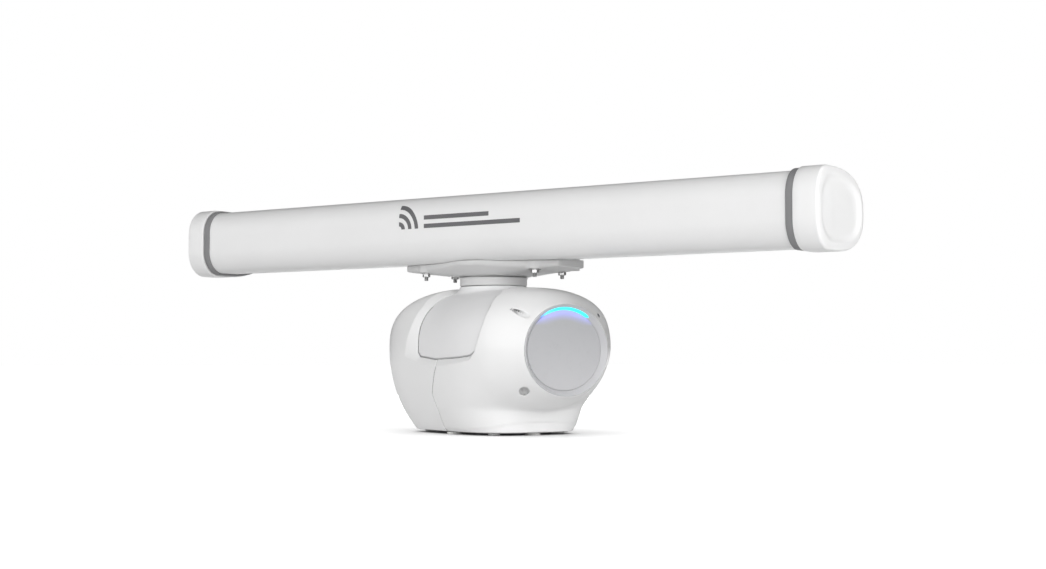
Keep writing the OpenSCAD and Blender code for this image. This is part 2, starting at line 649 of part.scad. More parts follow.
module cable_glands() color([0.2, 0.2, 0.22]) for (i = [-1, 1]) translate([i * 36, 118, 25])
  rotate([-90, 0, 0]) difference() {
    union() {
      cylinder(r = 7.95, h = 24);
      translate([0, 0, 13.2]) cylinder(r = 12, h = 6, $fn = 6);
      translate([0, 0, 19]) cylinder(r = 10, h = 9);
      translate([0, 0, 1]) cylinder(r = 11, h = 4.8, $fn = 6);
    }
    translate([0, 0, -1]) cylinder(r = 4.5, h = 40);
  }

radome_tube();
end_cap_left();
end_cap_right();
ring_seal_left();
ring_seal_right();
side_graphic();
strongback();
slotted_waveguide();
horn_upper();
horn_lower();
array_brackets();
foam_supports();
feed_transition();
feed_coax();
mounting_bracket();
bracket_studs();
bracket_nuts();
bracket_washers();
hub_screws();
neck_hub();
main_shaft();
upper_inner_race();
lower_inner_race();
drive_gear();
shaft_nut();
rotary_joint_rotor();
azimuth_magnet();
upper_bearing_cage();
upper_bearing_balls();
lower_bearing_cage();
lower_bearing_balls();
motor_pinion();
motor_shaft();
motor_rotor_stack();
base_casting();
foot_pads();
front_casing();
rear_casing();
saddle_frame();
bearing_housing();
housing_screws();
upper_outer_race();
lower_outer_race();
shaft_seal();
motor_body();
motor_stand();
motor_screws();
rotary_joint_stator();
transceiver_box();
transceiver_lid();
transceiver_board();
power_board();
front_disc();
disc_bezel();
light_guide();
led_board();
casing_screws();
cable_glands();
azimuth_sensor();
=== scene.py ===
"""Open-array marine radar: a bar antenna turning on a pedestal."""
import itertools
import json
import math

import bmesh
import bpy
import numpy as np
from mathutils import Matrix, Vector


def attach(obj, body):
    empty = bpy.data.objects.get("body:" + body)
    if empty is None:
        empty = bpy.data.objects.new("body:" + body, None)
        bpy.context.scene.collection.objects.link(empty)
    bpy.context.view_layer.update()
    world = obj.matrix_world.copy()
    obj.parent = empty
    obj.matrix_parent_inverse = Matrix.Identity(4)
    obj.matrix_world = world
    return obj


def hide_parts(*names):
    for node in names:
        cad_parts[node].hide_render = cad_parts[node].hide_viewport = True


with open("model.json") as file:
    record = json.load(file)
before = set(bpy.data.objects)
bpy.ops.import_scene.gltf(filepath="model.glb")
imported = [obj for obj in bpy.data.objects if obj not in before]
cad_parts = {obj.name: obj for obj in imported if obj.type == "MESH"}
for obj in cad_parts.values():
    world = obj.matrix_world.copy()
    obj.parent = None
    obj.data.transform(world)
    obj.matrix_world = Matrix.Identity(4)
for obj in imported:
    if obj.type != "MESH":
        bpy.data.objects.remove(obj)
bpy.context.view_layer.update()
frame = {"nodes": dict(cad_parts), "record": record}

MM = 0.001
SIDES = (-1, 1)
MATS = {}
BLACK = (0.0, 0.0, 0.0)
SEAM_SHADE = (0.16, 0.16, 0.165)
PLASTIC_IOR, COAT_ROUGH = 1.46, 0.12
GAP_SHADE_REACH, SHADOW_REACH, GRAIN_DEPTH = 0.006, 0.4, 0.0004


# ---------------------------------------------------------------- materials

def node(tree, kind, **props):
    """A new node of a kind, with its properties set."""
    n = tree.nodes.new(kind)
    for key, value in props.items():
        setattr(n, key, value)
    return n


def noise(tree, coord, scale, detail=4.0, rough=0.55, stretch=None):
    """A noise texture over object coordinates, in features per metre."""
    vector = coord
    if stretch:
        m = node(tree, "ShaderNodeMapping")
        m.inputs["Scale"].default_value = stretch
        tree.links.new(coord, m.inputs["Vector"])
        vector = m.outputs["Vector"]
    n = node(tree, "ShaderNodeTexNoise")
    n.inputs["Scale"].default_value = scale
    n.inputs["Detail"].default_value = detail
    n.inputs["Roughness"].default_value = rough
    tree.links.new(vector, n.inputs["Vector"])
    return n.outputs["Fac"]


def remap(tree, value, lo, hi, new_lo, new_hi):
    """A value moved from lo..hi to new_lo..new_hi and held there."""
    m = node(tree, "ShaderNodeMapRange")
    for key, x in (("From Min", lo), ("From Max", hi), ("To Min", new_lo), ("To Max", new_hi)):
        m.inputs[key].default_value = x
    tree.links.new(value, m.inputs["Value"])
    return m.outputs["Result"]


def blend(tree, factor, a, b):
    """Colour a at factor 0 and b at factor 1; each is a plain colour or a socket."""
    m = node(tree, "ShaderNodeMix", data_type="RGBA")
    tree.links.new(factor, m.inputs[0])
    for socket, colour in ((m.inputs[6], a), (m.inputs[7], b)):
        if isinstance(colour, tuple):
            socket.default_value = (*colour, 1.0)
        else:
            tree.links.new(colour, socket)
    return m.outputs[2]


def multiply(tree, a, b):
    """The product of two sockets."""
    m = node(tree, "ShaderNodeMath", operation="MULTIPLY")
    tree.links.new(a, m.inputs[0])
    tree.links.new(b, m.inputs[1])
    return m.outputs[0]


def finish(name, colour, rough, metal=0.0, vary=0.03, grain=900.0, bump=0.06, coat=0.0,
           wear=None, brushed=None, speck=None, painted_gap_shade=False):
    """The finish of a slot: slow colour drift and fine grain, and where asked worn edges, specks or painted
    shade darkening its gaps and holes.
    """
    mat = bpy.data.materials.new(name)
    mat.use_nodes = True
    tree = mat.node_tree
    bsdf = tree.nodes["Principled BSDF"]
    coord = node(tree, "ShaderNodeTexCoord").outputs["Object"]
    slow = noise(tree, coord, 9.0, 3.0)
    mid = noise(tree, coord, 70.0, 5.0)
    fine = noise(tree, coord, grain, 3.0, 0.6, brushed)
    dark = tuple(c * (1 - vary) for c in colour)
    light = tuple(min(1.0, c * (1 + vary)) for c in colour)
    shade = blend(tree, remap(tree, slow, 0.3, 0.7, 0.0, 1.0), dark, light)
    shade = blend(tree, remap(tree, mid, 0.45, 0.85, 0.0, 0.35), shade, dark)
    if speck:
        spots = noise(tree, coord, speck[1], 2.0, 0.7)
        shade = blend(tree, remap(tree, spots, 0.62, 0.7, 0.0, 1.0), shade, speck[0])
    if wear:
        geo = node(tree, "ShaderNodeNewGeometry")
        edge = remap(tree, geo.outputs["Pointiness"], 0.53, 0.6, 0.0, 0.7)
        patch = multiply(tree, edge, remap(tree, mid, 0.35, 0.65, 0.0, 1.0))
        shade = blend(tree, patch, shade, wear)
    # painted shade: the base colour is darkened towards SEAM_SHADE where ambient occlusion finds other
    # surfaces close by, in seams, gaps and holes
    if painted_gap_shade:
        gap = node(tree, "ShaderNodeAmbientOcclusion", samples=8)
        gap.inputs["Distance"].default_value = GAP_SHADE_REACH
        gap_shade_mask = remap(tree, gap.outputs["AO"], 0.25, 0.8, 0.85, 0.0)
        shade = blend(tree, gap_shade_mask, shade, SEAM_SHADE)
    tree.links.new(shade, bsdf.inputs["Base Color"])
    both = node(tree, "ShaderNodeMath", operation="ADD")
    tree.links.new(remap(tree, mid, 0.3, 0.7, rough * 0.9, rough * 1.05), both.inputs[0])
    tree.links.new(remap(tree, fine, 0.3, 0.7, -rough * 0.08, rough * 0.12), both.inputs[1])
    tree.links.new(both.outputs[0], bsdf.inputs["Roughness"])
    relief = node(tree, "ShaderNodeBump")
    relief.inputs["Strength"].default_value = bump
    relief.inputs["Distance"].default_value = GRAIN_DEPTH
    tree.links.new(fine, relief.inputs["Height"])
    tree.links.new(relief.outputs["Normal"], bsdf.inputs["Normal"])
    bsdf.inputs["Metallic"].default_value = metal
    bsdf.inputs["IOR"].default_value = PLASTIC_IOR
    bsdf.inputs["Coat Weight"].default_value = coat
    bsdf.inputs["Coat Roughness"].default_value = COAT_ROUGH
    MATS[name] = mat
    return mat


finish("radome_white", (0.82, 0.82, 0.82), 0.34, coat=0.15, vary=0.012, grain=420.0,
       bump=0.05)
finish("cap_white", (0.84, 0.84, 0.84), 0.36, coat=0.1, vary=0.012, grain=700.0, bump=0.05)
finish("seal_grey", (0.235, 0.235, 0.24), 0.6, vary=0.08, grain=1500.0, bump=0.15)
finish("graphic_grey", (0.135, 0.135, 0.14), 0.45, vary=0.05, grain=1800.0, bump=0.05)
finish("plain_aluminium", (0.62, 0.63, 0.65), 0.42, 0.95, grain=500.0, bump=0.2,
       brushed=(1.0, 0.08, 1.0))
finish("guide_brass", (0.72, 0.55, 0.26), 0.34, 1.0, vary=0.08, grain=700.0, bump=0.15)
finish("foam", (0.78, 0.74, 0.6), 0.9, vary=0.06, grain=260.0, bump=0.8,
       speck=((0.62, 0.58, 0.46), 320.0))
finish("coax_copper", (0.75, 0.4, 0.25), 0.32, 1.0, vary=0.07, grain=900.0, bump=0.1)
finish("casting_white", (0.64, 0.64, 0.64), 0.5, vary=0.025, grain=620.0, bump=0.22,
       coat=0.1, wear=(0.6, 0.6, 0.6))
finish("saddle_white", (0.82, 0.82, 0.825), 0.45, vary=0.02, grain=1000.0, bump=0.14,
       painted_gap_shade=True)
finish("bolt_steel", (0.5, 0.5, 0.5), 0.3, 1.0, vary=0.1, grain=1200.0, bump=0.14,
       wear=(0.78, 0.78, 0.78))
finish("shaft_steel", (0.58, 0.59, 0.61), 0.25, 1.0, grain=700.0, bump=0.15,
       brushed=(1.0, 1.0, 0.1))
finish("bearing_steel", (0.7, 0.71, 0.73), 0.14, 1.0, vary=0.04, grain=1500.0, bump=0.04)
finish("cage_brass", (0.7, 0.52, 0.22), 0.3, 1.0, vary=0.08, grain=1000.0, bump=0.1)
finish("gear_nylon", (0.8, 0.78, 0.7), 0.45, vary=0.04, grain=800.0, bump=0.12)
finish("magnet_dark", (0.09, 0.09, 0.1), 0.35, 0.9, vary=0.1, grain=1200.0, bump=0.15)
finish("casing_white", (0.86, 0.86, 0.86), 0.36, coat=0.2, vary=0.014, grain=520.0,
       bump=0.06, painted_gap_shade=True)
finish("pad_white", (0.72, 0.72, 0.7), 0.7, vary=0.05, grain=900.0, bump=0.3)
finish("black_rubber", (0.03, 0.03, 0.032), 0.75, vary=0.15, grain=1300.0, bump=0.3)
finish("motor_black", (0.05, 0.05, 0.055), 0.5, 0.3, vary=0.12, grain=900.0, bump=0.2,
       wear=(0.25, 0.25, 0.25))
finish("board_green", (0.03, 0.2, 0.1), 0.4, vary=0.12, grain=700.0, bump=0.15,
       speck=((0.55, 0.45, 0.2), 420.0))
finish("bezel_grey", (0.56, 0.56, 0.575), 0.32, coat=0.2, vary=0.02, grain=1200.0, bump=0.05)
finish("gland_black", (0.045, 0.045, 0.05), 0.48, vary=0.12, grain=1100.0, bump=0.2)


def light_guide_finish():
    """Glowing plastic whose hue drifts from blue to cyan along the guide's left part."""
    mat = finish("light_cyan", (0.1, 0.75, 0.8), 0.3, vary=0.03, grain=1500.0, bump=0.03)
    tree = mat.node_tree
    bsdf = tree.nodes["Principled BSDF"]
    coord = node(tree, "ShaderNodeTexCoord").outputs["Object"]
    axes = node(tree, "ShaderNodeSeparateXYZ")
    tree.links.new(coord, axes.inputs[0])
    along = remap(tree, axes.outputs["X"], -0.047, -0.02, 0.0, 1.0)
    grainy = remap(tree, noise(tree, coord, 260.0), 0.3, 0.7, 0.92, 1.0)
    hue = blend(tree, along, (0.2, 0.3, 1.0), (0.0, 0.86, 1.0))
    tree.links.new(blend(tree, grainy, BLACK, hue), bsdf.inputs["Emission Color"])
    bsdf.inputs["Emission Strength"].default_value = 1.0


def disc_finish():
    """Satin grey disc painted darker towards the top as shade, with the light guide's glow painted onto its
    upper part as emission.
    """
    mat = finish("disc_grey", (0.55, 0.55, 0.565), 0.3, coat=0.3, vary=0.015, grain=1500.0, bump=0.03)
    tree = mat.node_tree
    bsdf = tree.nodes["Principled BSDF"]
    coord = node(tree, "ShaderNodeTexCoord").outputs["Object"]
    face = node(tree, "ShaderNodeMapping", vector_type="TEXTURE")
    face.inputs["Location"].default_value = (0.0, 0.0, DISC_Z * MM)
    face.inputs["Scale"].default_value = (DISC_A * MM, 1.0, DISC_B * MM)
    tree.links.new(coord, face.inputs["Vector"])
    axes = node(tree, "ShaderNodeSeparateXYZ")
    tree.links.new(face.outputs["Vector"], axes.inputs[0])
    flat = node(tree, "ShaderNodeCombineXYZ")
    tree.links.new(axes.outputs["X"], flat.inputs["X"])
    tree.links.new(axes.outputs["Z"], flat.inputs["Z"])
    # painted light: the light guide's glow is painted as emission on the disc's upper rim, fading inwards and
    # downwards
    reach = node(tree, "ShaderNodeVectorMath", operation="LENGTH")
    tree.links.new(flat.outputs[0], reach.inputs[0])
    edge = remap(tree, reach.outputs["Value"], 0.72, 0.95, 0.0, 1.0)
    high = remap(tree, axes.outputs["Z"], 0.6, 0.84, 0.0, 1.0)
    cloudy = remap(tree, noise(tree, coord, 30.0), 0.3, 0.7, 0.85, 1.0)
    glow = multiply(tree, multiply(tree, edge, high), cloudy)
    tree.links.new(blend(tree, glow, BLACK, (0.14, 0.15, 0.8)), bsdf.inputs["Emission Color"])
    bsdf.inputs["Emission Strength"].default_value = 0.9
    # painted shade: the base colour darkens from the disc's bottom to its top
    painted_top_shade = remap(tree, axes.outputs["Z"], -1.0, 1.0, 0.0, 1.0)
    base = bsdf.inputs["Base Color"].links[0].from_socket
    tree.links.new(blend(tree, painted_top_shade, base, (0.42, 0.425, 0.44)), bsdf.inputs["Base Color"])


# ------------------------------------------------------------------- meshes

def spow(v, e):
    """A power that keeps the sign of its base."""
    return np.sign(v) * np.abs(v) ** e


def circle(x, y, r, z, n=12):
    """Points of a level circle."""
    angles = [2 * math.pi * i / n for i in range(n)]
    return [(x + r * math.cos(t), y + r * math.sin(t), z) for t in angles]


def from_flat(t):
    """The angle t measured from the middle of the nearest flat of a hexagon."""
    return (t + math.pi / 6) % (math.pi / 3) - math.pi / 6


def add_piece(name, verts, faces, body, nodes, slot, normals=None, sharp=32.0):
    """A piece from points in millimetres; it rides a body and stands for its CAD nodes."""
    mesh = bpy.data.meshes.new(name)
    mesh.from_pydata((np.asarray(verts, dtype=float) * MM).tolist(), [], [list(map(int, f)) for f in faces])
    mesh.validate()
    mesh.polygons.foreach_set("use_smooth", [True] * len(mesh.polygons))
    if normals is None:
        bm = bmesh.new()
        bm.from_mesh(mesh)
        bmesh.ops.recalc_face_normals(bm, faces=bm.faces)
        bm.to_mesh(mesh)
        bm.free()
        mesh.set_sharp_from_angle(angle=math.radians(sharp))
    else:
        mesh.normals_split_custom_set_from_vertices(np.asarray(normals, dtype=float).tolist())
    mesh.materials.append(MATS[slot])
    piece = bpy.data.objects.new(name, mesh)
    bpy.context.scene.collection.objects.link(piece)
    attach(piece, body)
    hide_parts(*nodes)


class Shape:
    """Points and faces gathered before they become one piece."""

    def __init__(self):
        self.v, self.f = [], []

    def add(self, verts, faces):
        base = len(self.v)
        self.v.extend(map(tuple, verts))
        self.f.extend(tuple(base + i for i in f) for f in faces)

    def loft(self, rings, cap_start=False, cap_end=False, loop=False):
        """Rings of equal length joined in order; loop joins the last back to the first."""
        n, m = len(rings[0]), len(rings)
        verts = [p for ring in rings for p in ring]
        faces = []
        for k in range(m if loop else m - 1):
            a, b = k * n, (k + 1) % m * n
            for i in range(n):
                j = (i + 1) % n
                faces.append((a + i, a + j, b + j, b + i))
        for flag, k in ((cap_start, 0), (cap_end, m - 1)):
            if flag:
                verts.append(tuple(np.mean(rings[k], axis=0)))
                c = len(verts) - 1
                faces += [(c, k * n + (i + 1) % n, k * n + i) for i in range(n)]
        self.add(verts, faces)

    def lathe(self, profile, x=0.0, y=0.0, steps=64, loop=False, caps=(False, False)):
        """A profile of (radius, height) turned about the upright axis at x, y."""
        self.loft([circle(x, y, r, z, steps) for r, z in profile], *caps, loop)

    def moved(self, matrix):
        """The shape with its points moved by a matrix."""
        self.v = [tuple(matrix @ Vector(p)) for p in self.v]
        return self


# --------------------------------------------------- implicit surfaces on a grid

def smax(a, b, k):
    """The greater of two fields, with the edge between them rounded over about k."""
    h = np.maximum(k - np.abs(a - b), 0.0) / k
    return np.maximum(a, b) + h * h * (k * 0.25)


def smin(a, b, k):
    """The lesser of two fields, with the edge between them filled over about k."""
    return -smax(-a, -b, k)


def grid(lo, hi, h):
    """Broadcastable coordinates of a grid of step h round the box from lo to hi."""
    axes = [np.arange(a - 2 * h, b + 2.01 * h, h, dtype=np.float32) for a, b in zip(lo, hi)]
    return (axes[0][:, None, None], axes[1][None, :, None], axes[2][None, None, :])


def as_distance(field, h):
    """Scale an implicit field so that it measures millimetres near its surface."""
    gx, gy, gz = np.gradient(field, h)
    return np.clip(field / np.maximum(np.sqrt(gx * gx + gy * gy + gz * gz), 1e-4), -80, 80).astype(np.float32)


def sample(field, lo, h, pts):
    """Field values between grid points."""
    q = (pts - lo) / h
    q = np.clip(q, 0, np.array(field.shape) - 1.001)
    i = q.astype(int)
    t = q - i
    out = np.zeros(len(pts))
    for corner in itertools.product((0, 1), repeat=3):
        wx, wy, wz = np.where(corner, t, 1 - t).T
        out += wx * wy * wz * field[tuple((i + corner).T)]
    return out


def slope(field, lo, h, pts):
    """The field's gradient between grid points."""
    g = np.zeros((len(pts), 3))
    for k in range(3):
        step = np.zeros(3)
        step[k] = 0.6 * h
        g[:, k] = sample(field, lo, h, pts + step) - sample(field, lo, h, pts - step)
    return g / (1.2 * h)


def surface(field, axes, h):
    """Closed mesh of a field's zero surface, with its normals; the inside is negative."""
    lo = np.array([a.flat[0] for a in axes], dtype=float)
    field = np.array(field, dtype=np.float32)
    for k in range(3):
        for end in (0, -1):
            rim = field[(slice(None),) * k + (end,)]
            np.maximum(rim, 0.5, out=rim)
    inside = field < 0
    count = np.zeros(tuple(s - 1 for s in field.shape), np.int8)
    corners = list(itertools.product((0, 1), repeat=3))
    nx, ny, nz = count.shape
    for a, b, c in corners:
        count += inside[a:a + nx, b:b + ny, c:c + nz]
    active = (count > 0) & (count < 8)
    cells = np.argwhere(active)
    index = np.full(count.shape, -1, np.int64)
    index[active] = np.arange(len(cells))
    total, hits = np.zeros((len(cells), 3)), np.zeros(len(cells))
    for p in corners:
        for q in corners:
            if sum(q) - sum(p) == 1 and sum(abs(a - b) for a, b in zip(p, q)) == 1:
                fp, fq = (field[tuple((cells + c).T)] for c in (p, q))
                cut = (fp < 0) != (fq < 0)
                t = np.where(cut, fp / np.where(cut, fp - fq, 1), 0)
                total[cut] += (np.array(p) + t[:, None] * (np.array(q) - np.array(p)))[cut]
                hits[cut] += 1
    verts = lo + h * (cells + total / hits[:, None])
    faces = []
    for k in range(3):
        a, b = (k + 1) % 3, (k + 2) % 3
        first = np.take(inside, range(0, field.shape[k] - 1), k)
        second = np.take(inside, range(1, field.shape[k]), k)
        for turn, change in ((False, first & ~second), (True, ~first & second)):
            at = np.argwhere(change)
            quad = []
            for da, db in ((-1, -1), (0, -1), (0, 0), (-1, 0)):
                c = at.copy()
                c[:, a] += da
                c[:, b] += db
                quad.append(index[tuple(c.T)])
            quad = np.stack(quad[::-1] if turn else quad, 1)
            faces.append(quad)
    faces = np.concatenate(faces)
    for _ in range(2):
        f, g = sample(field, lo, h, verts), slope(field, lo, h, verts)
        step = f[:, None] * g / np.maximum((g * g).sum(1), 0.05)[:, None]
        length = np.linalg.norm(step, axis=1)
        verts -= step * np.minimum(1, 0.4 * h / np.maximum(length, 1e-9))[:, None]
    g = slope(field, lo, h, verts)
    normals = g / np.maximum(np.linalg.norm(g, axis=1), 1e-9)[:, None]
    return verts, faces, even_normals(normals, faces)


def even_normals(normals, faces, passes=8, keep=0.12):
    """Average neighbouring normals where they almost agree, so edges stay crisp."""
    a = np.concatenate([faces[:, k] for k in range(4)])
    b = np.concatenate([faces[:, (k + 1) % 4] for k in range(4)])
    for _ in range(passes):
        w = np.exp(-((normals[a] - normals[b]) ** 2).sum(1) / keep ** 2)[:, None]
        total = normals.copy()
        for p, q in ((a, b), (b, a)):
            for k in range(3):
                total[:, k] += np.bincount(p, (w * normals[q])[:, k], len(normals))
        normals = total / np.linalg.norm(total, axis=1)[:, None]
    return normals


def region(pts, first, second):
    """Signed distance to a closed outline in a plane."""
    pts = np.array(pts, dtype=np.float32)
    best = np.full(np.broadcast(first, second).shape, 1e9, np.float32)
    inside = np.zeros(best.shape, bool)
    for p, q in zip(pts, np.roll(pts, -1, axis=0)):
        d = q - p
        t = np.clip(((first - p[0]) * d[0] + (second - p[1]) * d[1]) / (d @ d), 0, 1)
        best = np.minimum(best, (first - p[0] - t * d[0]) ** 2 + (second - p[1] - t * d[1]) ** 2)
        side = (p[1] > second) != (q[1] > second)
        slope_x = p[0] + (second - p[1]) * d[0] / (d[1] if abs(d[1]) > 1e-6 else 1e-6)
        inside ^= side & (first < slope_x)
    return np.where(inside, -1, 1) * np.sqrt(best)


# ------------------------------------------------------------ sizes, millimetres

BAR_YAW, BAR_Z = math.radians(-67.8), 382.0
BAR_END, CAP_X, RING_W, CAP_PROUD = 715.5, 670.0, 14.0, 6.0
TUBE_BACK, TUBE_FRONT, TUBE_H, TUBE_WALL, FLAT_Y = 102.0, 74.0, 127.0, 3.0, -43.0
CORNER_WIDE, CORNER_TALL, FRONT_POWER = 38.0, 44.0, 0.8
PRINT_X, PRINT_Z, PRINT_W = -148.0, BAR_Z + 2, 8
CAP_E, FILLET = BAR_END - CAP_X, 4.5
STUD_X, STUD_Y = 126.0, 45.6
STUDS = [(i * STUD_X, j * STUD_Y) for i in SIDES for j in SIDES]
NECK_R, NECK_GAP, COLLAR_Z, CROWN_Z = 63.5, 5.0, 262, 274.0
HALF_W, NOSE_Y, TAIL_Y, BELT_Z = 160.0, 240.0, 182.0, 160.0
TUCK_SIDE, TUCK_NOSE, TUCK_TAIL = 42, 76, 43
PLAN_FRONT, PLAN_BACK, CROWN_POWER = 3.3, 4.5, 2.5
DISC_A, DISC_B, DISC_Z, RIM_Y = 79.0, 72.0, 153.5, -245.0
RIM_A, RIM_B, DISC_FACE, DISC_CROWN = 90.0, 82.0, -237.5, 0.9
GUIDE_OUT, GUIDE_HALF, GUIDE_Y = 1.8, 2.6, -239.6
WALL, FOOT_Z, STEP = 5.0, 5.5, 8.0
SADDLE_WALL, SADDLE_LAP, SADDLE_BORE = 5.5, 5, 39
THREAD, SCREW_R, GLAND_X, GLAND_Z = 1.25, 3.0, 36, 25
RIGHT_OUT, RIGHT_BACK = 5, 12
H_BRACKET, H_CASING, H_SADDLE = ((1.5, 2.0, 1.6))

TO_BAR = Matrix.Rotation(BAR_YAW, 4, "Z")
light_guide_finish()
disc_finish()


# --------------------------------------------------------------------- the bar

def section(grow, m=56, k=14):
    """Section of the bar: flat at the back with two long soft corners, curved at the front.

    The corners of a ring further inside, where grow is below zero, are rounder.
    """
    b, w = TUBE_H / 2 + grow, TUBE_BACK + grow
    rounder = min(max(-grow / 14, 0), 1)
    wide = max(CORNER_WIDE + grow, b * (0.5 + 0.35 * rounder))
    tall = max(CORNER_TALL + grow, b * (0.6 + 0.3 * rounder))
    t = np.radians(-90 + 180 * np.arange(m + 1) / m)
    front = np.stack([FLAT_Y + (TUBE_FRONT - FLAT_Y + grow) * spow(np.cos(t), FRONT_POWER),
                      b * spow(np.sin(t), FRONT_POWER)], 1)
    t = np.radians(90 + 90 * np.arange(k + 1) / k)
    top = np.stack([-w + wide + wide * np.cos(t), b - tall + tall * np.sin(t)], 1)
    low = top[::-1] * (1, -1)
    return np.concatenate([front, top, low])


def bar_ring(x, grow):
    """The bar's section at x, grown outwards by a distance."""
    return [(x, y, BAR_Z + z) for y, z in section(grow)]


tube = Shape()
tube_half = CAP_X - 6  # it ends inside the ring seals
xs = np.linspace(-tube_half, tube_half, 41)
tube.loft([bar_ring(x, 0.0) for x in xs] + [bar_ring(x, -TUBE_WALL) for x in xs[::-1]], loop=True)
add_piece("radome_shell", tube.moved(TO_BAR).v, tube.f, "antenna", ["radome_tube"], "radome_white")


def on_flat_side(x, z, painted_floor_glow):
    """A point of the print, laid on the tube's flat side and its soft corner."""
    past = max(abs(z - BAR_Z) - (TUBE_H / 2 - CORNER_TALL), 0) / CORNER_TALL
    return (x, -TUBE_BACK + CORNER_WIDE * (1 - math.sqrt(1 - past * past)) - painted_floor_glow, z)


def print_ring(points):
    """A closed ring round a line of the print, from (x, z) points beside the print's own corner."""
    at = [(PRINT_X + x, PRINT_Z + z) for x, z in points]
    return [on_flat_side(x, z, 0.45) for x, z in at] + [on_flat_side(x, z, -0.4) for x, z in at[::-1]]


graphic = Shape()
for inner in (6, 22, 38):
    radii = np.linspace(inner, inner + PRINT_W, 5)
    graphic.loft([print_ring([(r * math.cos(t), r * math.sin(t)) for r in radii])
                  for t in np.radians(np.linspace(0, 90, 31))], cap_start=True, cap_end=True)
for low, x_end in ((0, 280), (16, 210)):
    heights = np.linspace(low, low + PRINT_W, 5)
    graphic.loft([print_ring([(x, z) for z in heights]) for x in np.linspace(60, x_end, 12)],
                 cap_start=True, cap_end=True)
add_piece("side_print", graphic.moved(TO_BAR).v, graphic.f, "antenna", ["side_graphic"], "graphic_grey",
          sharp=40.0)

cap_profile = [(4.2, CAP_E - 9), (4.2, 0.4), (1.6, 0.0), (0.5, 0.4), (0.0, 1.6), (0.0, 12.0), (0.0, 26.0)]
cap_profile += [(FILLET * (1 - math.cos(t)), CAP_E - 0.9 - FILLET * (1 - math.sin(t)))
                for t in np.radians(np.arange(0, 86, 12))]
cap_profile += [(inset, CAP_E - dish) for inset, dish in
                ((8.5, 0.35), (12.0, 0.0), (14.0, 0.25), (16.0, 1.1), (18.5, 2.6), (21.0, 3.9), (24.0, 4.7),
                 (28.0, 5.0), (36.0, 4.7), (46.0, 4.1), (58.0, 3.7), (64.0, 3.6))]
for side, label in ((-1, "left"), (1, "right")):
    cap = Shape()
    cap.loft([bar_ring(side * (CAP_X + at), CAP_PROUD - inset) for inset, at in cap_profile],
             cap_start=True, cap_end=True)
    add_piece(f"end_cap_shell_{label}", cap.moved(TO_BAR).v, cap.f, "antenna", [f"end_cap_{label}"],
              "cap_white", sharp=24.0)
    seal = Shape()
    bead = [(0.2, 0.0), (2.4, 0.2), (3.4, 1.0), (3.8, 2.4), (3.8, RING_W - 2.4), (3.4, RING_W - 1.0),
            (2.4, RING_W - 0.2), (0.2, RING_W)]
    seal.loft([bar_ring(side * (CAP_X - RING_W + at), grow) for grow, at in bead], loop=True)
    add_piece(f"ring_bead_{label}", seal.moved(TO_BAR).v, seal.f, "antenna", [f"ring_seal_{label}"],
              "seal_grey", sharp=50.0)


# ------------------------------------------------------------------- bracket

def hull_planes(points):
    """Planes (normal, offset) of the points' convex hull."""
    bm = bmesh.new()
    for p in points:
        bm.verts.new(p)
    bmesh.ops.convex_hull(bm, input=bm.verts)
    bm.normal_update()
    centre = sum((v.co for v in bm.verts), Vector()) / len(bm.verts)
    planes = []
    for f in bm.faces:
        n = f.normal if f.normal.dot(f.verts[0].co - centre) > 0 else -f.normal
        if not any(n.dot(m) > 0.9995 for m, _ in planes):
            planes.append((n.copy(), n.dot(f.verts[0].co)))
    bm.free()
    return planes


def tube_field(y, z, grow):
    """Distance to the bar's section in its own plane."""
    return region(section(grow, 28, 7), y, z - BAR_Z)


axes = grid((-182, -86, 288), (182, 86, 348), H_BRACKET)
X, Y, Z = axes
corner_pts = []
for i in SIDES:
    for j in SIDES:
        corner_pts += circle(i * 170, j * 39, 8, 305.5) + circle(i * 170, j * 39, 8, 330)
        corner_pts += circle(i * 14, j * 76, 7, 312) + circle(i * 14, j * 76, 7, 330)
corner_pts += circle(0, 0, 62, 291.5, 24)
plate = np.full(np.broadcast_shapes(X.shape, Y.shape, Z.shape), -1e3, np.float32)
for n, d in hull_planes(corner_pts):
    plate = smax(plate, X * n.x + Y * n.y + Z * n.z - d, 3.0)
riser = np.maximum(np.maximum(np.abs(np.abs(X) - STUD_X) - 31, np.abs(Y - 49) - 11), np.abs(Z - 324) - 21)
plate = smin(np.maximum(plate, Z - 321), riser, 5.0)
for x, y in STUDS:
    ring = np.sqrt((X - x) ** 2 + (Y - y) ** 2)
    plate = smin(plate, smax(ring - 14, np.abs(Z - 312) - 9, 1.5), 4.0)
    plate = smax(plate, -smax(ring - 10.8, Z - 303, 0.8), 1.2)
    plate = smax(plate, -(ring - 4.5), 0.8)
plate = smax(plate, -tube_field(Y, Z, 0.15), 1.5)
plate = smax(plate, -(np.sqrt(X ** 2 + Y ** 2) - 15), 1.0)
v, f, n = surface(plate, axes, H_BRACKET)
turn = np.array(TO_BAR.to_3x3())
add_piece("bracket_plate", v @ turn.T, f, "antenna", ["mounting_bracket"], "casting_white", n @ turn.T)


def hex_prism(shape, x, y, z0, z1, flats, bore, chamfer=0.7):
    """A nut with chamfered corners and a threaded bore."""
    n = 48
    rings = []
    for inset, z in ((chamfer * 1.6, z0), (0.0, z0 + chamfer), (0.0, z1 - chamfer), (chamfer * 1.6, z1)):
        ring = []
        for i in range(n):
            t = 2 * math.pi * i / n
            r = min(flats / 2 / math.cos(from_flat(t)), flats / 2 * 1.155 - inset)
            ring.append((x + r * math.cos(t), y + r * math.sin(t), z))
        rings.append(ring)
    turns = int((z1 - z0) / (THREAD / 2))
    for k in range(turns + 1):
        rings.append(circle(x, y, bore - (0.35 if k % 2 else 0.0), z1 - (z1 - z0) * k / turns, n))
    shape.loft(rings, loop=True)


